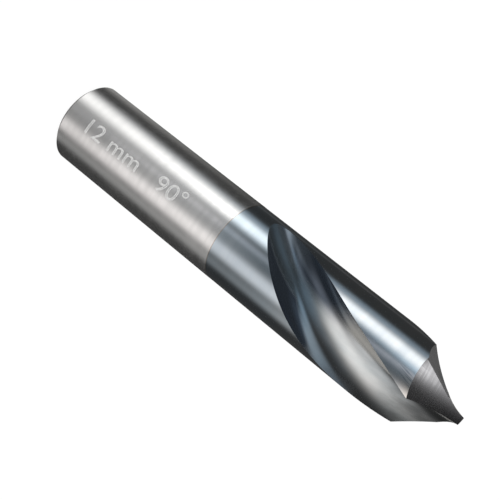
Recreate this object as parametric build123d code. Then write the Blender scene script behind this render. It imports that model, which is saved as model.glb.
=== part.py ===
from build123d import *
import math
import os

# Solid two-flute chamfer mill, ground from one round carbide blank.
# The tool stands on its shank end: +Z is the tool axis, Z = 0 is the shank end face,
# and the point is at the top. The chisel edge of the point lies close to the Y axis.
# Lengths are in millimetres and angles in degrees.

# Blank: a ground shank, then the coated cutting end, which is thinner behind than at the point
tool_diameter = 12.0
overall_length = 70.0
shank_end_chamfer = 0.5
cutting_end_length = 39.1
back_taper = 0.02
seam_bearing = 90.0

# Point: each land has a cylindrical primary relief and a flat secondary relief
point_angle = 90.0
primary_radius = 11.3
primary_clearance = 10.5
secondary_slope = 54.9
secondary_bearing = -67.0
secondary_overshoot = 0.75

# Flutes: right-hand helix, round-nosed section, web that thickens towards the shank
flute_count = 2
flute_lead = 115.0
flute_nose_radius = 5.43
web_at_point = 1.14
web_growth_per_mm = 0.092
web_growth_bearing = 57.5

# Run-out: the wheel leaves the cut on its own arc
run_out_start = 16.0
run_out_radius = 38.0
run_out_bearing = 9.0

# Cutters: how far they reach past the tool, and how closely the flute's sections follow each other
cutter_margin = 3.0
section_spacing = 2.5

tool_radius = tool_diameter / 2
flute_centre_at_point = flute_nose_radius + web_at_point / 2
waste_side = 3 * tool_diameter


def polar(distance, bearing):
    """A vector across the axis, from its length and its bearing from +X."""
    return Vector(distance, 0, 0).rotate(Axis.Z, bearing)


def blank():
    """The round bar before it is fluted. Its seam lines start inside a flute."""
    standing = (Align.CENTER, Align.CENTER, Align.MIN)
    shank_length = overall_length - cutting_end_length
    shank = Cylinder(tool_radius, shank_length, align=standing)
    shank_rim = shank.edges().group_by(Axis.Z)[0]
    shank = chamfer(shank_rim, shank_end_chamfer)
    cutting_end = Cone(tool_radius - back_taper / 2, tool_radius, cutting_end_length, align=standing)
    return Rot(0, 0, seam_bearing) * (shank + Pos(0, 0, shank_length) * cutting_end)


def flute_centre(depth):
    """Centre of the flute's round section, at a depth below the point."""
    lift = max(0.0, depth - run_out_start) ** 2 / (2 * run_out_radius)
    centre = Vector(0, flute_centre_at_point, 0)
    centre += polar(web_growth_per_mm * depth, web_growth_bearing)
    centre += polar(lift, run_out_bearing)
    turned = centre.rotate(Axis.Z, -360 * depth / flute_lead)
    return turned + Vector(0, 0, overall_length - depth)


def flute_end_depth():
    """Depth below the point at which the flute's floor leaves the tool's surface."""
    clear = tool_radius + flute_nose_radius
    depth = run_out_start
    while math.hypot(flute_centre(depth).X, flute_centre(depth).Y) < clear:
        depth += section_spacing
    return depth


def flute_cutter():
    """The space that the grinding wheel sweeps for one flute."""
    reach = flute_end_depth() + 2 * cutter_margin
    steps = math.ceil(reach / section_spacing)
    depths = [reach * step / steps - cutter_margin for step in range(steps + 1)]
    sections = [Pos(*flute_centre(depth)) * Circle(flute_nose_radius) for depth in depths]
    return loft(sections)


def primary_relief_cutter():
    """What the cylindrical relief grind takes off above one land."""
    down_the_lip = Vector(0, 0, -1).rotate(Axis.Y, -point_angle / 2)
    grind = Plane(origin=(0, 0, overall_length), x_dir=(0, 1, 0), z_dir=down_the_lip)
    crown = Vector(0, primary_radius, 0).rotate(Axis.Z, -primary_clearance)
    above_axis = Rectangle(waste_side, waste_side, align=(Align.CENTER, Align.MIN))
    section = Pos(crown.X, -crown.Y) * (above_axis - Circle(primary_radius))
    return extrude(grind * section, amount=waste_side, both=True)


def secondary_relief_cutter():
    """What the flat relief grind takes off behind the primary relief of one land."""
    outward = Vector(0, 0, 1).rotate(Axis.Y, secondary_slope).rotate(Axis.Z, secondary_bearing)
    grind = Plane(origin=(0, 0, overall_length + secondary_overshoot), z_dir=outward)
    return grind * Box(waste_side, waste_side, waste_side, align=(Align.CENTER, Align.CENTER, Align.MIN))


def chamfer_mill():
    """The finished tool: blank, then the flutes, then the point reliefs."""
    tool = blank()
    cutters = [flute_cutter(), primary_relief_cutter(), secondary_relief_cutter()]
    for index in range(flute_count):
        for cutter in cutters:
            tool = tool - Rot(0, 0, index * 360 / flute_count) * cutter
    return tool


os.makedirs("parts", exist_ok=True)
export_step(chamfer_mill(), "parts/chamfer_mill.step")
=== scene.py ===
"""Looks of the chamfer mill: its ground body, its finishes, its size mark and the studio around it.

The body is ground here as on the machine: a round blank, two flutes swept by a round-nosed wheel,
and the relief grinds of the point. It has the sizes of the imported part, and stands in for it.
Sizes are in millimetres and angles in degrees, unless a name says otherwise.
"""

import logging
import math
from collections.abc import Iterable
from dataclasses import dataclass, field
from enum import Enum
from functools import cache, reduce
from itertools import pairwise

import bpy
from mathutils import Matrix, Vector


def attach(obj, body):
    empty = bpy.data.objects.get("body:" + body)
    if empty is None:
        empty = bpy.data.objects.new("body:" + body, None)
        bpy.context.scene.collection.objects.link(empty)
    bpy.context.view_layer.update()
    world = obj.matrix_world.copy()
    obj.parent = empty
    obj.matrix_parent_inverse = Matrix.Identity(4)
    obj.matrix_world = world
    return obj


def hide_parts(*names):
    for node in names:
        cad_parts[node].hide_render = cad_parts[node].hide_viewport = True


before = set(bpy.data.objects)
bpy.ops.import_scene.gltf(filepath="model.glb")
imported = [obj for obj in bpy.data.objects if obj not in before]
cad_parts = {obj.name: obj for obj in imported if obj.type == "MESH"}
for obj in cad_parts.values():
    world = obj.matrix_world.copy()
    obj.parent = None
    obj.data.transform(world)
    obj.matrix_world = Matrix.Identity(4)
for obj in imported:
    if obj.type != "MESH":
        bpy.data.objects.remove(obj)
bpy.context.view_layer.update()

MM = 0.001
MICROMETRE = MM / 1000
PLAIN_BODY = "root"
GRIND_MAP = "grind"

Colour = tuple[float, float, float]
Piece = bpy.types.Object
Face = bpy.types.MeshPolygon
Tree = bpy.types.NodeTree
Node = bpy.types.Node
Socket = bpy.types.NodeSocket
Layer = tuple[Socket, Colour]

log = logging.getLogger("chamfer_mill")


class Ground(Enum):
    """The ground surfaces of the tool. Each one has a material of its own."""

    SHANK = "shank"
    LAND = "land"
    FLUTE = "flute"
    FLANK = "flank"
    HEEL = "heel"


def deselect_all() -> None:
    """Leave edit mode and deselect every object."""
    if bpy.context.object is not None and bpy.context.object.mode != "OBJECT":
        bpy.ops.object.mode_set(mode="OBJECT")
    bpy.ops.object.select_all(action="DESELECT")


def make_active(piece: Piece) -> None:
    """Select one object alone and make it the active one.

    Args:
        piece: The object that the next operators act on.
    """
    deselect_all()
    piece.select_set(True)
    bpy.context.view_layer.objects.active = piece


def apply_place() -> None:
    """Move the place, turn and scale of the selected objects into their meshes."""
    bpy.ops.object.transform_apply(location=True, rotation=True, scale=True)


def modify(piece: Piece, kind: str, **settings: object) -> None:
    """Finish a mesh with a modifier, which is applied.

    Args:
        piece: The mesh.
        kind: The modifier's type.
        settings: The modifier's settings.
    """
    make_active(piece)
    modifier = piece.modifiers.new(kind, kind)
    for name, value in settings.items():
        setattr(modifier, name, value)
    bpy.ops.object.modifier_apply(modifier=modifier.name)


def take_off(work: Piece, waste: Piece) -> None:
    """Cut one mesh out of another, whose cut faces take the cutter's material, and delete the cutter."""
    modify(work, "BOOLEAN", operation="DIFFERENCE", solver="EXACT", material_mode="TRANSFER", object=waste)
    bpy.data.objects.remove(waste)


def sweep_circle(facets: int, radius: float, start: Vector, steps: Iterable[tuple[Vector, float]]) -> Piece:
    """Extrude a round face step by step into a closed mesh.

    Args:
        facets: How many sides the face has.
        radius: Its radius.
        start: Its centre.
        steps: How far the face travels in each step, and by which factor it grows there.

    Returns:
        The swept mesh.
    """
    deselect_all()
    place = start * MM
    bpy.ops.mesh.primitive_circle_add(vertices=facets, radius=radius * MM, fill_type="NGON", location=place)
    swept = bpy.context.object
    apply_place()
    bpy.ops.object.mode_set(mode="EDIT")
    for travel, growth in steps:
        bpy.ops.mesh.extrude_region_move(TRANSFORM_OT_translate={"value": travel * MM})
        if growth != 1.0:
            bpy.ops.transform.resize(value=(growth, growth, 1), center_override=(0, 0, 0))
    bpy.ops.mesh.select_all(action="SELECT")
    bpy.ops.mesh.normals_make_consistent(inside=False)
    bpy.ops.object.mode_set(mode="OBJECT")
    return swept


def add_block(side: float, middle: Vector, turn: Matrix, stretch: float = 1.0) -> Piece:
    """Add a cube, and stretch it along its own third axis.

    Args:
        side: Its side.
        middle: Its middle.
        turn: How it is turned.
        stretch: How many times longer than wide it becomes.

    Returns:
        The block.
    """
    deselect_all()
    bpy.ops.mesh.primitive_cube_add(size=side * MM, location=middle * MM, rotation=turn.to_euler())
    block = bpy.context.object
    block.scale.z = stretch
    apply_place()
    return block


def across(distance: float, bearing: float) -> Vector:
    """A vector across the tool's axis, by its length and its angle from +X."""
    return Matrix.Rotation(math.radians(bearing), 3, "Z") @ Vector((distance, 0, 0))


def fill(tree: Tree, node: Node, inputs: dict[str | int, object]) -> None:
    """Fill a node's inputs: a socket is linked, and a number, vector or colour is set.

    Args:
        tree: The node's tree.
        node: The node.
        inputs: What goes into its inputs, by name or number.
    """
    for key, value in inputs.items():
        entry = node.inputs[key]
        if isinstance(value, Socket):
            tree.links.new(value, entry)
        else:
            entry.default_value = (*value, 1.0) if entry.type == "RGBA" else value


def place_node(
    tree: Tree,
    kind: str,
    inputs: dict[str | int, object] | None = None,
    **settings: object,
) -> Node:
    """Add one node to a tree.

    Args:
        tree: The tree.
        kind: The node's type name.
        inputs: What goes into its inputs, by name or number.
        settings: The node's own settings.

    Returns:
        The node.
    """
    node = tree.nodes.new(kind)
    for name, value in settings.items():
        setattr(node, name, value)
    fill(tree, node, inputs or {})
    return node


def calculate(tree: Tree, operation: str, *values: object) -> Socket:
    """The result of a Math node, whose inputs are numbers or sockets."""
    return place_node(tree, "ShaderNodeMath", dict(enumerate(values)), operation=operation).outputs[0]


def multiply(tree: Tree, *factors: object) -> Socket:
    """The product of two or more numbers or sockets."""
    return reduce(lambda product, factor: calculate(tree, "MULTIPLY", product, factor), factors)


def calculate_vector(tree: Tree, operation: str, *values: object) -> Socket:
    """The vector that a Vector Math node makes of vectors or sockets."""
    return place_node(tree, "ShaderNodeVectorMath", dict(enumerate(values)), operation=operation).outputs[0]


def split(tree: Tree, vector: Socket) -> tuple[Socket, ...]:
    """The three parts of a vector, as sockets."""
    return tuple(place_node(tree, "ShaderNodeSeparateXYZ", {0: vector}).outputs)


def join(tree: Tree, *parts: object) -> Socket:
    """A vector made of up to three parts, each a number or a socket."""
    return place_node(tree, "ShaderNodeCombineXYZ", dict(enumerate(parts))).outputs[0]


def object_place(tree: Tree) -> Socket:
    """Where the shaded point lies in the part's frame, in metres."""
    return place_node(tree, "ShaderNodeTexCoord").outputs["Object"]


def grind_map(tree: Tree) -> Socket:
    """Where the shaded point lies across and along the marks of its grind, in millimetres."""
    return place_node(tree, "ShaderNodeUVMap", uv_map=GRIND_MAP).outputs["UV"]


def spread(
    tree: Tree,
    value: Socket,
    low: float,
    high: float,
    start: float = 0.0,
    end: float = 1.0,
) -> Socket:
    """Add a smooth Map Range node.

    Args:
        tree: The tree.
        value: The value that is mapped.
        low: The result at the start of the range.
        high: The result at its end.
        start: Where the range starts.
        end: Where it ends.

    Returns:
        The result, which stays between low and high.
    """
    inputs = {"Value": value, "From Min": start, "From Max": end, "To Min": low, "To Max": high}
    node = place_node(tree, "ShaderNodeMapRange", inputs, interpolation_type="SMOOTHSTEP")
    return node.outputs["Result"]


def blend(tree: Tree, share: Socket | float, first: Colour | Socket, second: Colour | Socket) -> Socket:
    """Mix two colours, with as much of the second one as the share says."""
    inputs = {0: share, 6: first, 7: second}
    return place_node(tree, "ShaderNodeMix", inputs, data_type="RGBA").outputs[2]


def new_material(name: str) -> tuple[bpy.types.Material, Tree, Node]:
    """Start a material.

    Args:
        name: The material's name.

    Returns:
        The material, its tree and its shader.
    """
    made = bpy.data.materials.new(name)
    made.use_nodes = True
    return made, made.node_tree, made.node_tree.nodes["Principled BSDF"]


def new_group(name: str, inputs: Iterable[str], outputs: Iterable[str]) -> tuple[Tree, Node, Node]:
    """Start a node group. Its input Place is a vector, and all its other sockets are numbers.

    Args:
        name: The group's name.
        inputs: The names of its inputs.
        outputs: The names of its outputs.

    Returns:
        The group's tree, its input node and its output node.
    """
    tree = bpy.data.node_groups.new(name, "ShaderNodeTree")
    for side, labels in (("INPUT", inputs), ("OUTPUT", outputs)):
        for label in labels:
            kind = "NodeSocketVector" if label == "Place" else "NodeSocketFloat"
            tree.interface.new_socket(label, in_out=side, socket_type=kind)
    return tree, tree.nodes.new("NodeGroupInput"), tree.nodes.new("NodeGroupOutput")


@cache
def grind_lines() -> Tree:
    """Fine marks of a grinding wheel, which run along the second and third coordinate of Place.

    Returns:
        A group that puts out the marks' Height and a broader Tone, both between 0 and 1.
    """
    tree, start, end = new_group("Grind lines", ["Place"], ["Height", "Tone"])
    place = start.outputs["Place"]
    stretch, shift = (0.22, 0.5, 0.5), (7.3, 1.9, 4.1)
    wider = calculate_vector(tree, "MULTIPLY_ADD", place, stretch, shift)
    fine = place_node(tree, "ShaderNodeTexNoise", {"Vector": place, "Scale": 1.0, "Detail": 2.0})
    broad = place_node(tree, "ShaderNodeTexNoise", {"Vector": wider, "Scale": 1.0, "Detail": 2.0})
    broad_part = 0.6
    both = calculate(tree, "MULTIPLY_ADD", broad.outputs["Fac"], broad_part, fine.outputs["Fac"])
    height = multiply(tree, both, 1 / (1 + broad_part))
    fill(tree, end, {"Height": height, "Tone": spread(tree, broad.outputs["Fac"], 0.0, 1.0, 0.32, 0.68)})
    return tree


@cache
def cloud() -> Tree:
    """Soft patches, as a coating or a wiped metal surface has them.

    Returns:
        A group that puts out a Value between 0 and 1.
    """
    tree, start, end = new_group("Cloud", ["Place", "Size"], ["Value"])
    scale = calculate(tree, "DIVIDE", 1.0, start.outputs["Size"])
    grain = {"Vector": start.outputs["Place"], "Scale": scale, "Detail": 3.0, "Roughness": 0.55}
    noise = place_node(tree, "ShaderNodeTexNoise", grain)
    fill(tree, end, {"Value": spread(tree, noise.outputs["Fac"], 0.0, 1.0, 0.3, 0.7)})
    return tree


@cache
def specks() -> Tree:
    """A few tiny round spots, such as pinholes and grains of dust in a coating.

    Returns:
        A group that puts out a Mask, 1 on a speck and 0 beside it.
    """
    tree, start, end = new_group("Specks", ["Place", "Spacing", "Radius"], ["Mask"])
    kept_share = 0.4
    scale = calculate(tree, "DIVIDE", 1.0, start.outputs["Spacing"])
    cells = place_node(tree, "ShaderNodeTexVoronoi", {"Vector": start.outputs["Place"], "Scale": scale})
    distance = multiply(tree, cells.outputs["Distance"], start.outputs["Spacing"])
    near = calculate(tree, "LESS_THAN", distance, start.outputs["Radius"])
    rare = calculate(tree, "LESS_THAN", split(tree, cells.outputs["Color"])[0], kept_share)
    fill(tree, end, {"Mask": multiply(tree, near, rare)})
    return tree


def use_group(tree: Tree, group: Tree, **inputs: object) -> bpy.types.bpy_prop_collection:
    """The outputs of a node group, which is placed in a material with its own inputs."""
    return place_node(tree, "ShaderNodeGroup", inputs, node_tree=group).outputs


@dataclass(frozen=True)
class Ramp:
    """A smooth step over a grind map, between two straight lines.

    The lines are those on which across times the map's first coordinate plus down times its second
    one is start, where the value is low, and end, where it is high. Start may be the larger one.
    """

    start: float
    end: float
    low: float = 0.0
    high: float = 1.0
    across: float = 0.0
    down: float = 0.0

    def over(self, tree: Tree, chart: Socket) -> Socket:
        """Lay the step over a grind map.

        Args:
            tree: The material's tree.
            chart: The grind map.

        Returns:
            The step's value.
        """
        inputs = {0: chart, 1: (self.across, self.down, 0.0)}
        place = place_node(tree, "ShaderNodeVectorMath", inputs, operation="DOT_PRODUCT").outputs["Value"]
        return spread(tree, place, self.low, self.high, self.start, self.end)


def within(tree: Tree, chart: Socket, ramps: Iterable[Ramp]) -> Socket:
    """The product of several steps over a grind map, which is high only inside all of them."""
    return multiply(tree, *(ramp.over(tree, chart) for ramp in ramps))


@dataclass(frozen=True)
class Finish:
    """How one ground surface of the tool looks. Line pitch, line length and relief are in millimetres."""

    ground: Ground
    light: Colour
    dark: Colour
    roughness: float
    unevenness: float = 0.15
    line_pitch: float = 0.2
    line_length: float = 30.0
    line_relief: float = 0.0005
    rings: bool = False
    anisotropy: float = 0.0
    patch_size: float = 5.0

    def lines_place(self, tree: Tree, chart: Socket) -> Socket:
        """Where a point lies across and along the wheel's marks, in pitches and lengths.

        Args:
            tree: The material's tree.
            chart: The grind map.

        Returns:
            A vector: across the marks first, and along them in the rest.
        """
        if not self.rings:
            scale = (1 / self.line_pitch, 1 / self.line_length, 1.0)
            return calculate_vector(tree, "MULTIPLY", chart, scale)
        x, y, z = split(tree, object_place(tree))
        along = 1 / (MM * self.line_length)
        return join(
            tree,
            multiply(tree, z, 1 / (MM * self.line_pitch)),
            multiply(tree, x, along),
            multiply(tree, y, along),
        )

    def layers(self, tree: Tree, chart: Socket) -> list[Layer]:
        """The colours that lie over this surface's own, each with its share, from the lowest up."""
        return []

    def coarsen(self, tree: Tree, chart: Socket, rough: Socket) -> Socket:
        """Change the roughness where this surface differs from place to place."""
        return rough

    def metal(self, tree: Tree, chart: Socket) -> Socket | float:
        """How metallic this surface is."""
        return 1.0

    @cache
    def material(self) -> bpy.types.Material:
        """Build the material, once.

        Returns:
            The material, named for its surface.
        """
        made, tree, shader = new_material(f"{self.ground.value}_finish")
        chart = grind_map(tree)
        lines = use_group(tree, grind_lines(), Place=self.lines_place(tree, chart))
        patches = use_group(tree, cloud(), Place=object_place(tree), Size=self.patch_size * MM)[0]
        mixed = calculate(tree, "MULTIPLY_ADD", patches, 0.5, multiply(tree, lines["Tone"], 0.5))
        colour = blend(tree, mixed, self.dark, self.light)
        for share, tint in self.layers(tree, chart):
            colour = blend(tree, share, colour, tint)
        swing = self.roughness * self.unevenness
        rough = spread(tree, mixed, self.roughness + swing, self.roughness - swing)
        relief = {"Height": lines["Height"], "Distance": self.line_relief * MM, "Strength": 1.0}
        inputs = {
            "Base Color": colour,
            "Roughness": self.coarsen(tree, chart, rough),
            "Metallic": self.metal(tree, chart),
            "Normal": place_node(tree, "ShaderNodeBump", relief).outputs[0],
        }
        if self.anisotropy:
            tangent = place_node(tree, "ShaderNodeTangent", direction_type="RADIAL", axis="Z")
            inputs |= {"Anisotropic": self.anisotropy, "Tangent": tangent.outputs[0]}
        fill(tree, shader, inputs)
        return made


@dataclass(frozen=True)
class LandFinish(Finish):
    """The coated round surface behind the flutes and on the lands.

    Across, its grind map counts from the leading edge backwards. Down, it counts from the point.
    """

    tan: Colour = (0.42, 0.34, 0.27)
    tan_end: Ramp = Ramp(38.96, 39.1, down=1.0)
    blue: Colour = (0.33, 0.385, 0.425)
    blue_end: Ramp = Ramp(20.0, 30.0, 0.0, 0.7, down=1.0)
    # worn coating at the cutting corner, made paler still as a painted highlight
    worn_and_highlight: Colour = (0.62, 0.585, 0.55)
    worn_and_highlight_corner: tuple[Ramp, ...] = (
        Ramp(2.8, 1.6, across=1.0),
        Ramp(8.5, 5.0, down=1.0),
    )
    streak: Colour = (0.15, 0.19, 0.22)
    streak_slope: float = 0.16
    streak_pitch: float = 1 / 6
    streak_length: float = 4.0
    streak_share: float = 0.8
    streak_cut: tuple[float, float] = (0.5, 0.62)
    streak_patch: tuple[Ramp, ...] = (
        Ramp(0.7, 1.6, across=1.0),
        Ramp(3.1, 2.2, across=1.0),
        Ramp(9.5, 6.5, down=1.0),
    )

    def layers(self, tree: Tree, chart: Socket) -> list[Layer]:
        """The coating's bluer end and tan edge, the worn corner with its painted highlight, and streaks
        near the point.

        Args:
            tree: The material's tree.
            chart: The grind map.

        Returns:
            The share and the colour of each.
        """
        return [
            (self.blue_end.over(tree, chart), self.blue),
            (self.tan_end.over(tree, chart), self.tan),
            (within(tree, chart, self.worn_and_highlight_corner), self.worn_and_highlight),
            (self.streaks(tree, chart), self.streak),
        ]

    def streaks(self, tree: Tree, chart: Socket) -> Socket:
        """How dark the fine streaks are behind the worn corner, which carries a painted highlight.

        Args:
            tree: The material's tree.
            chart: The grind map.

        Returns:
            The share of the streaks' colour.
        """
        from_edge, depth, _ = split(tree, chart)
        slanted = calculate(tree, "MULTIPLY_ADD", depth, self.streak_slope, from_edge)
        over_pitch = multiply(tree, slanted, 1 / self.streak_pitch)
        over_length = multiply(tree, depth, 1 / self.streak_length)
        lines = use_group(tree, grind_lines(), Place=join(tree, over_pitch, over_length))["Height"]
        near = within(tree, chart, self.streak_patch)
        return multiply(tree, near, spread(tree, lines, 0.0, self.streak_share, *self.streak_cut))


@dataclass(frozen=True)
class FluteFinish(Finish):
    """The coated flutes, which are bluer in the run-out, and carry painted shade on both its sides, darker
    than on its floor.

    Across, their grind map counts from the deepest line towards the leading edge. Down, it counts
    from the point.
    """

    # painted shade: a dark colour over both sides of the run-out and at the heel edge, in place of darker
    # reflections
    painted_shade: Colour = (0.052, 0.066, 0.086)
    painted_shade_metal: float = 0.7
    leading_side: tuple[Ramp, ...] = (
        Ramp(12.1, 16.4, across=0.8, down=0.65),
        Ramp(-0.1, 1.6, across=1.0),
        Ramp(30.0, 27.0, 0.85, down=1.0),
    )
    heel_limits: tuple[Ramp, Ramp] = (
        Ramp(-0.95, -1.65, across=1.0),
        Ramp(-15.195, -15.895, across=1.0, down=-0.55),
    )
    heel_start: Ramp = Ramp(19.5, 21.5, down=1.0)
    heel_edge: tuple[Ramp, ...] = (
        Ramp(-3.7, -4.9, 0.0, 0.6, across=1.0),
        Ramp(12.0, 15.0, down=1.0),
        Ramp(19.2, 17.0, down=1.0),
    )
    matt: Colour = (0.32, 0.31, 0.29)
    matt_metal: float = 0.25
    matt_strip: tuple[Ramp, ...] = (
        Ramp(-1.4, -0.5, across=1.0, down=-0.12),
        Ramp(21.0, 16.5, down=1.0),
    )
    # near the point the flute is darker: partly a grey-green stain, partly painted shade, laid in soft
    # streaks
    stain_and_shade: Colour = (0.203, 0.212, 0.214)
    stain_and_shade_end: Ramp = Ramp(12.0, 7.5, 0.12, 0.8, down=1.0)
    stain_and_shade_width: float = 1.1
    stain_and_shade_stretch: float = 0.3
    teal: Colour = (0.32, 0.385, 0.43)
    teal_end: Ramp = Ramp(20.5, 25.5, down=1.0)
    coarse_end: Ramp = Ramp(24.0, 29.0, 1.0, 1.35, down=1.0)
    speck_spacing: float = 3.0
    speck_radius: float = 0.09
    speck_share: float = 0.5

    def coarsen(self, tree: Tree, chart: Socket, rough: Socket) -> Socket:
        """Make the run-out rougher than the rest of the flute."""
        return multiply(tree, rough, self.coarse_end.over(tree, chart))

    def metal(self, tree: Tree, chart: Socket) -> Socket:
        """Make the painted shade and the matt strip less metallic."""
        dim = spread(tree, self.painted_shade_share(tree, chart), 1.0, self.painted_shade_metal)
        return multiply(tree, dim, spread(tree, within(tree, chart, self.matt_strip), 1.0, self.matt_metal))

    def layers(self, tree: Tree, chart: Socket) -> list[Layer]:
        """The run-out's tint, the stain and painted shade near the point, the matt strip, the painted shade
        of the sides, and pale specks.

        Args:
            tree: The material's tree.
            chart: The grind map.

        Returns:
            The share and the colour of each.
        """
        spacing, radius = self.speck_spacing * MM, self.speck_radius * MM
        dust = use_group(tree, specks(), Place=object_place(tree), Spacing=spacing, Radius=radius)[0]
        return [
            (self.teal_end.over(tree, chart), self.teal),
            # stain and painted shade near the point
            (self.stain_and_shade_share(tree, chart), self.stain_and_shade),
            (within(tree, chart, self.matt_strip), self.matt),
            # painted shade over the sides of the run-out and the heel edge
            (self.painted_shade_share(tree, chart), self.painted_shade),
            (multiply(tree, dust, self.speck_share), self.light),
        ]

    def stain_and_shade_share(self, tree: Tree, chart: Socket) -> Socket:
        """How much of the grey-green stain and painted shade near the point lies in soft streaks along the
        flute.

        Args:
            tree: The material's tree.
            chart: The grind map.

        Returns:
            The share of the stain.
        """
        stretched = calculate_vector(tree, "MULTIPLY", chart, (1.0, self.stain_and_shade_stretch, 0.0))
        patches = use_group(tree, cloud(), Place=stretched, Size=self.stain_and_shade_width)[0]
        return multiply(tree, self.stain_and_shade_end.over(tree, chart), patches)

    def painted_shade_share(self, tree: Tree, chart: Socket) -> Socket:
        """How much painted shade darkens the flute on both sides of its run-out, and half-way down at its
        heel edge.

        Args:
            tree: The material's tree.
            chart: The grind map.

        Returns:
            The share of the shade.
        """
        leading = within(tree, chart, self.leading_side)
        heel = calculate(tree, "MINIMUM", *(limit.over(tree, chart) for limit in self.heel_limits))
        heel = multiply(tree, heel, self.heel_start.over(tree, chart))
        sides = calculate(tree, "MAXIMUM", leading, heel)
        return calculate(tree, "MAXIMUM", sides, within(tree, chart, self.heel_edge))


@dataclass(frozen=True)
class FlankFinish(Finish):
    """The curved relief behind a lip, which is darker towards the point."""

    inner: Colour = (0.20, 0.197, 0.205)
    inner_end: Ramp = Ramp(7.5, 0.5, across=1.0)

    def layers(self, tree: Tree, chart: Socket) -> list[Layer]:
        """A darker colour towards the point."""
        return [(self.inner_end.over(tree, chart), self.inner)]


SHANK_FINISH = Finish(
    Ground.SHANK,
    light=(0.64, 0.635, 0.625),
    dark=(0.61, 0.605, 0.595),
    roughness=0.22,
    line_pitch=0.22,
    line_length=60.0,
    line_relief=0.00008,
    rings=True,
    anisotropy=0.3,
)
LAND_FINISH = LandFinish(
    Ground.LAND,
    light=(0.46, 0.48, 0.49),
    dark=(0.40, 0.43, 0.455),
    roughness=0.12,
    line_pitch=0.25,
    line_length=60.0,
    line_relief=0.00006,
    rings=True,
)
FLUTE_FINISH = FluteFinish(
    Ground.FLUTE,
    light=(0.435, 0.435, 0.435),
    dark=(0.33, 0.35, 0.36),
    roughness=0.13,
    line_pitch=0.35,
    line_length=25.0,
    line_relief=0.0002,
)
FLANK_FINISH = FlankFinish(
    Ground.FLANK,
    light=(0.47, 0.467, 0.478),
    dark=(0.35, 0.347, 0.357),
    roughness=0.24,
    line_pitch=0.06,
    line_length=3.0,
    line_relief=0.0004,
)
HEEL_FINISH = Finish(
    Ground.HEEL,
    light=(0.42, 0.42, 0.42),
    dark=(0.34, 0.34, 0.345),
    roughness=0.26,
    line_pitch=0.16,
    line_length=6.0,
    line_relief=0.0008,
)


@dataclass
class Blank:
    """The round bar: bright shank and coated cutting end, turned about the Z axis."""

    diameter: float = 12.0
    length: float = 70.0
    end_chamfer: float = 0.5
    cutting_end_length: float = 39.1
    back_taper: float = 0.02
    facets: int = 360

    @property
    def radius(self) -> float:
        """Radius of the bar."""
        return self.diameter / 2

    @property
    def shank_length(self) -> float:
        """Height at which the shank ends and the coated cutting end starts."""
        return self.length - self.cutting_end_length

    @property
    def beyond(self) -> float:
        """Side of a block that reaches past the bar on all sides."""
        return 3 * self.diameter

    def build(self) -> Piece:
        """Extrude a round face through the corners of the profile, and dress the shank and the land.

        Returns:
            The bar, as a closed mesh.
        """
        corners = [
            (self.radius - self.end_chamfer, 0.0),
            (self.radius, self.end_chamfer),
            (self.radius, self.shank_length),
            (self.radius - self.back_taper / 2, self.shank_length),
            (self.radius, self.length),
        ]
        steps = [
            (Vector((0, 0, height - last_height)), radius / last_radius)
            for (last_radius, last_height), (radius, height) in pairwise(corners)
        ]
        bar = sweep_circle(self.facets, corners[0][0], Vector((0, 0, 0)), steps)
        bar.data.materials.append(SHANK_FINISH.material())
        bar.data.materials.append(LAND_FINISH.material())
        for face in bar.data.polygons:
            face.material_index = int(face.center.z > self.shank_length * MM - MICROMETRE)
        return bar


@dataclass
class FluteWheel:
    """The space that the round-nosed wheel sweeps as it grinds one flute."""

    blank: Blank
    lead: float = 115.0
    nose_radius: float = 5.43
    web_at_point: float = 1.14
    web_growth_per_mm: float = 0.092
    web_growth_bearing: float = 57.5
    run_out_start: float = 16.0
    run_out_radius: float = 38.0
    run_out_bearing: float = 9.0
    margin: float = 3.0
    step: float = 0.5
    facets: int = 160

    def centre(self, depth: float) -> Vector:
        """Centre of the wheel's round section.

        Args:
            depth: How far below the point the section lies.

        Returns:
            The centre in the part's frame, in millimetres.
        """
        lift = max(0.0, depth - self.run_out_start) ** 2 / (2 * self.run_out_radius)
        place = Vector((0, self.nose_radius + self.web_at_point / 2, 0))
        place += across(self.web_growth_per_mm * depth, self.web_growth_bearing)
        place += across(lift, self.run_out_bearing)
        place.rotate(Matrix.Rotation(-math.tau * depth / self.lead, 3, "Z"))
        return place + Vector((0, 0, self.blank.length - depth))

    def end_depth(self) -> float:
        """Follow the wheel until it has left the bar.

        Returns:
            The depth at which it is outside.
        """
        depth = self.run_out_start
        while self.centre(depth).xy.length < self.blank.radius + self.nose_radius:
            depth += self.step
        return depth

    def build(self) -> Piece:
        """Extrude a round face along the wheel's path, from above the point to past the run-out.

        Returns:
            The swept space, as a closed mesh with the flute's finish.
        """
        start, end = -self.margin, self.end_depth() + self.margin
        count = math.ceil((end - start) / self.step)
        path = [self.centre(start + index * self.step) for index in range(count + 1)]
        steps = [(after - before, 1.0) for before, after in pairwise(path)]
        swept = sweep_circle(self.facets, self.nose_radius, path[0], steps)
        swept.data.materials.append(FLUTE_FINISH.material())
        return swept

    def chart(self, point: Vector) -> tuple[float, float]:
        """Where a point of the first flute lies across and along the wheel's marks.

        Args:
            point: The point, in millimetres.

        Returns:
            The arc length from the flute's deepest line, and the depth below the point.
        """
        depth = self.blank.length - point.z
        centre = self.centre(depth).xy
        inwards = -centre
        from_centre = point.xy - centre
        angle = math.atan2(inwards.cross(from_centre), inwards.dot(from_centre))
        return self.nose_radius * angle, depth


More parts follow.
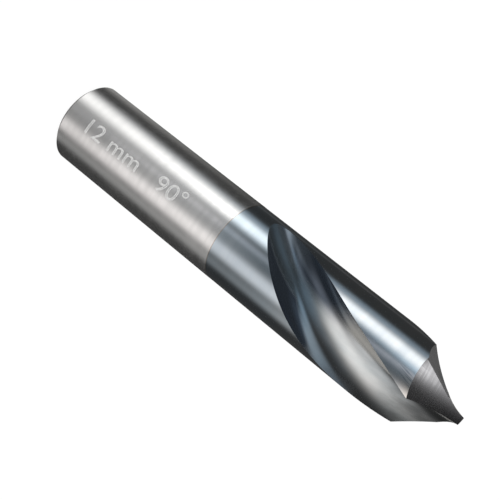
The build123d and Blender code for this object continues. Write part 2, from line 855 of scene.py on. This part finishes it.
@dataclass
class PrimaryRelief:
    """The curved grind behind one cutting lip: all that lies above a cylinder along the lip."""

    blank: Blank
    point_angle: float = 90.0
    radius: float = 11.3
    clearance: float = 10.5
    facets: int = 1440

    @property
    def lip(self) -> Vector:
        """Direction of the first cutting lip, from the point outwards."""
        return Matrix.Rotation(-math.radians(self.point_angle) / 2, 3, "Y") @ Vector((0, 0, -1))

    def build(self) -> Piece:
        """Take a cylinder along the lip out of a block above it.

        Returns:
            The waste above one land, as a closed mesh with the flank's finish.
        """
        side = self.blank.beyond
        forward = Vector((0, 1, 0))
        out = self.lip.cross(forward)
        turn = Matrix((forward, out, self.lip)).transposed()
        crown = across(1, 90 - self.clearance) * self.radius
        axis = Vector((0, 0, self.blank.length)) + turn @ Vector((crown.x, -crown.y, 0))
        block = add_block(side, axis + out * side / 2, turn, stretch=2.0)
        deselect_all()
        bpy.ops.mesh.primitive_cylinder_add(
            vertices=self.facets,
            radius=self.radius * MM,
            depth=3 * side * MM,
            location=axis * MM,
            rotation=turn.to_euler(),
        )
        wheel = bpy.context.object
        apply_place()
        take_off(block, wheel)
        block.data.materials.clear()
        block.data.materials.append(FLANK_FINISH.material())
        return block

    def chart(self, point: Vector) -> tuple[float, float]:
        """How far a point of the first flank lies along the lip from the tool's point, and behind it."""
        from_point = point - Vector((0, 0, self.blank.length))
        return from_point.dot(self.lip), point.y


@dataclass
class SecondaryRelief:
    """The flat grind behind the primary relief of one land."""

    blank: Blank
    slope: float = 54.9
    bearing: float = -67.0
    overshoot: float = 0.75

    @property
    def turn(self) -> Matrix:
        """The turn that lays an upright block on the grind."""
        tilted = Matrix.Rotation(math.radians(self.slope), 3, "Y")
        return Matrix.Rotation(math.radians(self.bearing), 3, "Z") @ tilted

    def build(self) -> Piece:
        """Place a block on the waste side of the grind.

        Returns:
            The waste, as a closed mesh with the heel's finish.
        """
        side = self.blank.beyond
        seat = Vector((0, 0, self.blank.length + self.overshoot))
        block = add_block(side, seat + self.turn @ Vector((0, 0, side / 2)), self.turn)
        block.data.materials.append(HEEL_FINISH.material())
        return block

    def chart(self, point: Vector) -> tuple[float, float]:
        """Where a point of the first heel lies across and down the grind."""
        flat = self.turn.transposed() @ point
        return flat.y, flat.x


@dataclass
class MillBody:
    """The whole tool, ground from its blank."""

    blank: Blank = field(default_factory=Blank)
    flutes: int = 2
    same_point: float = 0.0015
    smooth_angle: float = 12.0
    hone: float = 0.02
    honed_angle: float = 25.0
    touch_slope: float = 0.416
    touch_end: float = 2.8
    touch_lean: float = 0.65
    out_cosine: float = 0.5
    flat_cosine: float = 0.7
    round_cosine: float = 0.999

    def __post_init__(self) -> None:
        """Set up the grinds."""
        self.wheel = FluteWheel(self.blank)
        self.primary = PrimaryRelief(self.blank)
        self.secondary = SecondaryRelief(self.blank)

    def build(self) -> Piece:
        """Grind the flutes and the point into the blank, hone the edges and lay the grind map.

        Returns:
            The tool's body.
        """
        body = self.blank.build()
        body.name = "mill_body"
        for index in range(self.flutes):
            turn = Matrix.Rotation(math.tau * index / self.flutes, 4, "Z")
            for grind in (self.wheel, self.primary, self.secondary):
                waste = grind.build()
                waste.data.transform(turn)
                take_off(body, waste)
            self.touch_heel(body, turn.to_3x3())
        self.hone_edges(body)
        self.smooth(body)
        self.lay_grind_map(body)
        return body

    def touch_heel(self, body: Piece, turn: Matrix) -> None:
        """Dress the narrow strip behind a flank, which the heel grind only just touches, as heel.

        Args:
            body: The tool's body.
            turn: The turn from the first land to this one.
        """
        lip = self.primary.lip
        outwards = lip.cross(Vector((0, 1, 0)))
        rear = turn @ (lip - Vector((0, self.touch_slope, 0))).cross(outwards)
        point = Vector((0, 0, self.blank.length * MM))
        mesh = body.data
        make_active(body)
        for face in mesh.polygons:
            face.select = self.on_flank(body, face, turn @ outwards)
        bpy.ops.object.mode_set(mode="EDIT")
        bpy.ops.mesh.bisect(plane_co=point, plane_no=rear)
        bpy.ops.object.mode_set(mode="OBJECT")
        heel = mesh.materials.find(HEEL_FINISH.material().name)
        for face in mesh.polygons:
            reach = face.center - point
            behind = reach.dot(rear) > 0 and reach.dot(turn @ lip) > self.touch_end * MM
            if behind and self.on_flank(body, face, turn @ outwards):
                face.material_index = heel

    def on_flank(self, body: Piece, face: Face, outwards: Vector) -> bool:
        """Whether a face belongs to the flank that looks outwards."""
        return self.surface(body, face) is Ground.FLANK and face.normal.dot(outwards) > self.out_cosine

    def hone_edges(self, body: Piece) -> None:
        """Merge doubled points, and round the sharp edges a little, as honing leaves them.

        Args:
            body: The tool's body.
        """
        make_active(body)
        bpy.ops.object.mode_set(mode="EDIT")
        bpy.ops.mesh.select_all(action="SELECT")
        bpy.ops.mesh.remove_doubles(threshold=self.same_point * MM)
        bpy.ops.object.mode_set(mode="OBJECT")
        modify(
            body,
            "BEVEL",
            width=self.hone * MM,
            segments=2,
            limit_method="ANGLE",
            angle_limit=math.radians(self.honed_angle),
            miter_outer="MITER_ARC",
        )

    def smooth(self, body: Piece) -> None:
        """Shade each ground surface as the smooth surface that it is.

        Args:
            body: The tool's body.
        """
        make_active(body)
        bpy.ops.object.shade_smooth_by_angle(angle=math.radians(self.smooth_angle))
        mesh = body.data
        normals = [corner.vector.copy() for corner in mesh.corner_normals]
        for face in mesh.polygons:
            ground = self.surface(body, face)
            outwards = Vector((face.center.x, face.center.y, 0)).normalized()
            if ground in (Ground.SHANK, Ground.LAND) and face.normal.dot(outwards) > self.round_cosine:
                for loop in face.loop_indices:
                    place = mesh.vertices[mesh.loops[loop].vertex_index].co
                    normals[loop] = Vector((place.x, place.y, 0)).normalized()
            if ground is Ground.HEEL:
                flat = self.secondary.turn @ Vector((0, 0, 1))
                if self.on_second_land(ground, face):
                    flat.xy *= -1
                if face.normal.dot(flat) > self.flat_cosine:
                    for loop in face.loop_indices:
                        normals[loop] = face.normal.lerp(flat, self.touch_lean).normalized()
        mesh.normals_split_custom_set(normals)

    def surface(self, body: Piece, face: Face) -> Ground:
        """Which ground surface a face belongs to."""
        name = body.data.materials[face.material_index].name
        return Ground(name.removesuffix("_finish"))

    def lay_grind_map(self, body: Piece) -> None:
        """Give each face corner its place across and along the wheel's marks.

        Args:
            body: The tool's body.
        """
        mesh = body.data
        chart = mesh.uv_layers.new(name=GRIND_MAP)
        charts = {
            Ground.FLUTE: self.wheel.chart,
            Ground.FLANK: self.primary.chart,
            Ground.HEEL: self.secondary.chart,
        }
        half_turn = Matrix.Rotation(math.pi, 3, "Z")
        for face in mesh.polygons:
            ground = self.surface(body, face)
            second = self.on_second_land(ground, face)
            middle = face.center / MM
            for loop in face.loop_indices:
                point = mesh.vertices[mesh.loops[loop].vertex_index].co / MM
                if ground in (Ground.SHANK, Ground.LAND):
                    chart.data[loop].uv = self.land_chart(point, middle)
                else:
                    chart.data[loop].uv = charts[ground](half_turn @ point if second else point)

    def on_second_land(self, ground: Ground, face: Face) -> bool:
        """Whether a face belongs to the second of the two like grinds.

        Args:
            ground: The face's surface.
            face: The face.

        Returns:
            True where the grind is the first one after half a turn.
        """
        if ground is Ground.FLANK:
            return face.normal.x < 0
        if ground is Ground.HEEL:
            return face.normal.y > 0
        point = face.center / MM
        centre = self.wheel.centre(self.blank.length - point.z).xy
        return (point.xy - centre).length > (point.xy + centre).length

    def land_chart(self, point: Vector, middle: Vector) -> tuple[float, float]:
        """Where a point of a land lies behind the leading edge, and how deep below the tool's point.

        Args:
            point: The point, in millimetres.
            middle: The middle of its face, which keeps the face in one piece.

        Returns:
            The arc length behind the leading edge, and the depth.
        """
        land = math.tau / self.flutes
        start = self.behind_edge(middle) % land
        offset = (self.behind_edge(point) - self.behind_edge(middle) + math.pi) % math.tau - math.pi
        return self.blank.radius * (start + offset), self.blank.length - point.z

    def behind_edge(self, place: Vector) -> float:
        """How far a place lies behind the first leading edge.

        Args:
            place: The place, in millimetres.

        Returns:
            The angle about the tool's axis, in radians.
        """
        to_wheel = self.wheel.centre(0.0).xy.length
        reach = self.blank.radius**2 + to_wheel**2 - self.wheel.nose_radius**2
        edge = math.asin(reach / (2 * to_wheel * self.blank.radius))
        twist = math.tau * (self.blank.length - place.z) / self.wheel.lead
        return edge - math.atan2(place.y, place.x) - twist


@dataclass
class ShankMark:
    """Plain size figures, etched in outline along the shank."""

    blank: Blank
    words: str = "12 mm   90°"
    first_height: float = 4.6
    last_height: float = 24.0
    top_bearing: float = -10.0
    bottom_bearing: float = 13.0
    stroke: float = 0.15
    film: float = 0.006
    proud: float = 0.004
    bend_step: float = 0.2
    dark: Colour = (0.62, 0.62, 0.61)
    light: Colour = (0.78, 0.775, 0.765)
    grain: float = 0.3
    roughness: tuple[float, float] = (0.65, 0.45)
    metal: float = 0.25

    @property
    def width(self) -> float:
        """How far the figures reach round the shank, from their bottoms to their tops."""
        return math.radians(self.bottom_bearing - self.top_bearing) * self.blank.radius

    def build(self) -> Piece:
        """Outline the figures, bend them round the shank and dress them.

        Returns:
            The mark, as a thin closed film on the shank.
        """
        deselect_all()
        bpy.ops.object.text_add()
        mark = bpy.context.object
        mark.name = "size_mark"
        mark.data.body = self.words
        bpy.ops.object.convert(target="MESH")
        self.fit(mark)
        self.outline(mark)
        self.bend(mark)
        modify(mark, "SOLIDIFY", thickness=self.film * MM, offset=-1.0)
        mark.data.materials.append(self.material())
        return mark

    def fit(self, mark: Piece) -> None:
        """Scale the flat figures to the mark's place: along the shank, and around it.

        Args:
            mark: The flat figures.
        """
        mesh = mark.data
        lows = [min(v.co[i] for v in mesh.vertices) for i in range(2)]
        highs = [max(v.co[i] for v in mesh.vertices) for i in range(2)]
        scale_x = (self.last_height - self.first_height) * MM / (highs[0] - lows[0])
        scale_y = self.width * MM / (highs[1] - lows[1])
        shift = Matrix.Translation((-lows[0], -lows[1], 0))
        mesh.transform(Matrix.Diagonal((scale_x, scale_y, 1, 1)) @ shift)

    def outline(self, mark: Piece) -> None:
        """Keep a thin strip inside the outline of each figure, cut fine enough to bend.

        Args:
            mark: The flat figures.
        """
        make_active(mark)
        bpy.ops.object.mode_set(mode="EDIT")
        bpy.ops.mesh.select_all(action="SELECT")
        bpy.ops.mesh.remove_doubles(threshold=MICROMETRE)
        bpy.ops.mesh.inset(thickness=self.stroke * MM, use_boundary=True, use_even_offset=True)
        bpy.ops.mesh.delete(type="FACE")
        for step in range(1, math.ceil(self.width / self.bend_step)):
            bpy.ops.mesh.select_all(action="SELECT")
            bpy.ops.mesh.bisect(plane_co=(0, step * self.bend_step * MM, 0), plane_no=(0, 1, 0))
        bpy.ops.object.mode_set(mode="OBJECT")

    def bend(self, mark: Piece) -> None:
        """Lay the flat figures round the shank, with their tops towards the lower bearing.

        Args:
            mark: The flat figures.
        """
        reach = self.blank.radius + self.proud
        for vertex in mark.data.vertices:
            flat = vertex.co / MM
            bearing = self.bottom_bearing - math.degrees(flat.y / self.blank.radius)
            vertex.co = (across(reach, bearing) + Vector((0, 0, self.first_height + flat.x))) * MM

    def material(self) -> bpy.types.Material:
        """Build the frosted pale metal of an etched line.

        Returns:
            The material.
        """
        made, tree, shader = new_material("etched_mark")
        grain = use_group(tree, cloud(), Place=object_place(tree), Size=self.grain * MM)[0]
        colour = blend(tree, grain, self.dark, self.light)
        rough = spread(tree, grain, *self.roughness)
        fill(tree, shader, {"Base Color": colour, "Roughness": rough, "Metallic": self.metal})
        return made


@cache
def soft_box_glow() -> Tree:
    """How much light one soft box sends from a direction. Angles are in degrees, Tilt in radians.

    Returns:
        A group that puts out a Value: 1 in the middle of the box, falling off to 0 around it.
    """
    inputs = (
        "Azimuth", "Elevation", "Middle Azimuth", "Middle Elevation",
        "Half Width", "Half Height", "Tilt", "Side Edge", "Top Edge",
    )
    tree, start, end = new_group("Soft box", inputs, ["Value"])
    value = start.outputs
    sideways = calculate(tree, "SUBTRACT", value["Azimuth"], value["Middle Azimuth"])
    sideways = calculate(tree, "WRAP", sideways, 180.0, -180.0)
    upwards = calculate(tree, "SUBTRACT", value["Elevation"], value["Middle Elevation"])
    turn = {"Vector": join(tree, sideways, upwards), "Angle": multiply(tree, value["Tilt"], -1.0)}
    turned = place_node(tree, "ShaderNodeVectorRotate", turn, rotation_type="Z_AXIS").outputs[0]
    size = join(tree, value["Half Width"], value["Half Height"], 1.0)
    share = calculate_vector(tree, "ABSOLUTE", calculate_vector(tree, "DIVIDE", turned, size))
    aside, above, _ = split(tree, share)
    side_fall = calculate(tree, "POWER", aside, value["Side Edge"])
    top_fall = calculate(tree, "POWER", above, value["Top Edge"])
    fall = multiply(tree, calculate(tree, "ADD", side_fall, top_fall), -1.0)
    fill(tree, end, {"Value": calculate(tree, "EXPONENT", fall)})
    return tree


@dataclass(frozen=True)
class SoftBox:
    """One soft box far from the tool, by the direction that it shines from, in degrees.

    A higher edge value makes the box fall off more sharply at its sides, or at its top and bottom.
    """

    name: str
    azimuth: float
    elevation: float
    half_width: float
    half_height: float
    brightness: float
    tint: Colour = (1.0, 1.0, 1.0)
    tilt: float = 0.0
    side_edge: float = 2.4
    top_edge: float = 2.4

    def glow(self, tree: Tree, azimuth: Socket, elevation: Socket) -> Socket:
        """Place the box in the world.

        Args:
            tree: The world's tree.
            azimuth: The azimuth of the direction that is looked at.
            elevation: Its elevation.

        Returns:
            The share of the box's full light that comes from there.
        """
        values = (
            azimuth, elevation, self.azimuth, self.elevation,
            self.half_width, self.half_height, math.radians(self.tilt), self.side_edge, self.top_edge,
        )
        inputs, group = dict(enumerate(values)), soft_box_glow()
        return place_node(tree, "ShaderNodeGroup", inputs, node_tree=group, label=self.name).outputs[0]


WARM = (1.0, 0.99, 0.97)
BLUE = (0.80, 1.0, 1.18)
LAVENDER = (1.0, 1.0, 1.08)
ROSE = (1.03, 0.99, 0.99)

SOFT_BOXES = (
    SoftBox("key_low", -57, -41, 23, 13.5, 1.5, top_edge=8.0),
    SoftBox("key_high", -50, -23, 16, 7, 2.3, side_edge=2.8, top_edge=6.0),
    SoftBox("key_rim", -75, -22, 10, 8, 0.40, BLUE),
    SoftBox("key_tip", -31, -17, 9, 3.5, 0.8, BLUE),
    SoftBox("key_spot", -25, -16, 8, 3.8, 0.45, BLUE, top_edge=8.0),
    SoftBox("second_low", 43, -28, 19, 13.5, 1.1, ROSE, side_edge=2.6, top_edge=3.0),
    SoftBox("second_high", 42, -2.5, 28, 16, 1.8, WARM, tilt=-12, side_edge=2.6),
    SoftBox("side_low", 83, -19.5, 16, 5, 0.38, top_edge=4.0),
    SoftBox("second_tail", 82, -10, 18, 11, 1.0, tilt=-15),
    SoftBox("front_fill", -11, -24, 8, 10, 0.32, LAVENDER),
    SoftBox("blue_gap", -31, -24, 7, 5, 0.12, BLUE),
    SoftBox("front_strip", -14.5, -17, 5, 3.5, 0.30, LAVENDER),
    SoftBox("blue_wash", 6, -23, 18, 5, 0.10, BLUE),
    SoftBox("low_wash", 2, -31.1, 36, 4.5, 0.57, side_edge=4.0, top_edge=8.0),
    SoftBox("side_wash", 84, -33, 13, 8, 0.32),
    SoftBox("back_strip", 180, -26, 12, 26, 0.15),
    SoftBox("rear_line", -136, -24, 4, 14, 0.06, WARM),
    SoftBox("back_wash", -152, -44, 28, 14, 0.30, WARM, top_edge=6.0),
    SoftBox("upper_card", -80, 47.2, 30, 11, 1.75, top_edge=2.6),
    SoftBox("blue_card", -46, 23, 15, 5, 0.60, BLUE),
    SoftBox("blue_tail", -33, 15, 7, 6, 0.50, BLUE),
    SoftBox("blue_strip", -72, 3, 36, 5, 0.17, BLUE),
    SoftBox("teal_field", -7, -4, 17, 17, 0.22, BLUE, side_edge=3.0, top_edge=4.0),
    SoftBox("side_card", -135, 12, 12, 9, 0.22),
    SoftBox("strip_card", -117, 28, 10, 9, 0.28),
    SoftBox("rear_card", 178, 4, 24, 13, 0.55, WARM, top_edge=4.0),
)


@dataclass
class Studio:
    """The camera at the photograph's angle, a plain pale floor and soft boxes all round."""

    camera_place: Vector = field(default_factory=lambda: Vector((182.755, 0.0, 124.354)))
    camera_azimuth: float = 0.087
    camera_elevation: float = 26.575
    camera_roll: float = 128.65
    lens: float = 110.93
    sensor: float = 36.0
    floor_size: float = 4000.0
    floor_gap: float = 0.05
    floor_glow: float = 0.96
    floor_grey: float = 0.07
    nearest: float = 10.0
    dim: Colour = (0.06, 0.06, 0.06)
    white: Colour = (1.0, 1.0, 1.0)

    def build(self) -> None:
        """Place the camera, the floor and the lights."""
        self.place_camera()
        self.lay_floor()
        self.light()
        bpy.context.scene.view_settings.view_transform = "Standard"

    def place_camera(self) -> None:
        """Aim the camera down at the standing tool, rolled as the photograph shows it."""
        camera = bpy.data.objects.new("camera", bpy.data.cameras.new("camera"))
        bpy.context.collection.objects.link(camera)
        camera.data.lens = self.lens
        camera.data.sensor_width = self.sensor
        camera.data.clip_start = self.nearest * MM
        aim = Matrix.Rotation(math.radians(90 + self.camera_azimuth), 4, "Z")
        aim = aim @ Matrix.Rotation(math.radians(90 - self.camera_elevation), 4, "X")
        aim = aim @ Matrix.Rotation(math.radians(self.camera_roll), 4, "Z")
        camera.matrix_world = Matrix.Translation(self.camera_place * MM) @ aim
        bpy.context.scene.camera = camera

    def lay_floor(self) -> None:
        """Lay a pale floor that neither mirrors in the metal nor takes a hard shadow."""
        deselect_all()
        bpy.ops.mesh.primitive_plane_add(size=self.floor_size * MM, location=(0, 0, -self.floor_gap * MM))
        floor = bpy.context.object
        apply_place()
        floor.name = "floor"
        paint, tree, shader = new_material("floor_paint")
        inputs = {
            "Base Color": (self.floor_grey,) * 3,
            "Roughness": 1.0,
            "Specular IOR Level": 0.0,
            "Emission Color": self.white,
            "Emission Strength": self.floor_glow,
        }
        fill(tree, shader, inputs)
        floor.data.materials.append(paint)
        floor.visible_glossy = False
        floor.visible_shadow = False

    def light(self) -> None:
        """Put the soft boxes where the metal mirrors them. All else sees a plain white room."""
        world = bpy.data.worlds.new("studio")
        bpy.context.scene.world = world
        world.use_nodes = True
        if hasattr(world, "cycles"):
            world.cycles.sampling_method = "NONE"
        tree = world.node_tree
        tree.nodes.clear()
        direction = place_node(tree, "ShaderNodeTexCoord").outputs["Generated"]
        x, y, z = split(tree, direction)
        azimuth = multiply(tree, calculate(tree, "ARCTAN2", y, x), math.degrees(1))
        elevation = multiply(tree, calculate(tree, "ARCSINE", z), math.degrees(1))
        total = join(tree, *self.dim)
        for box in SOFT_BOXES:
            full = tuple(box.brightness * part for part in box.tint)
            total = calculate_vector(tree, "MULTIPLY_ADD", full, box.glow(tree, azimuth, elevation), total)
        mirrored = place_node(tree, "ShaderNodeBackground", {"Color": total})
        room = place_node(tree, "ShaderNodeBackground", {"Color": self.white})
        is_glossy = place_node(tree, "ShaderNodeLightPath").outputs["Is Glossy Ray"]
        choice = {0: is_glossy, 1: room.outputs[0], 2: mirrored.outputs[0]}
        seen = place_node(tree, "ShaderNodeMixShader", choice)
        place_node(tree, "ShaderNodeOutputWorld", {"Surface": seen.outputs[0]})


def enter(piece: Piece) -> None:
    """Ride a finished piece on the part's only body, and log it.

    Args:
        piece: The piece.
    """
    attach(piece, PLAIN_BODY)
    log.info("%s: %d faces", piece.name, len(piece.data.polygons))


def main() -> None:
    """Build the tool, its mark and the studio, and note the sizes."""
    logging.basicConfig(level=logging.INFO, format="%(name)s: %(message)s")
    mill = MillBody()
    body = mill.build()
    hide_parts("chamfer_mill")
    enter(body)
    enter(ShankMark(mill.blank).build())
    Studio().build()


if __name__ == "__main__":
    main()
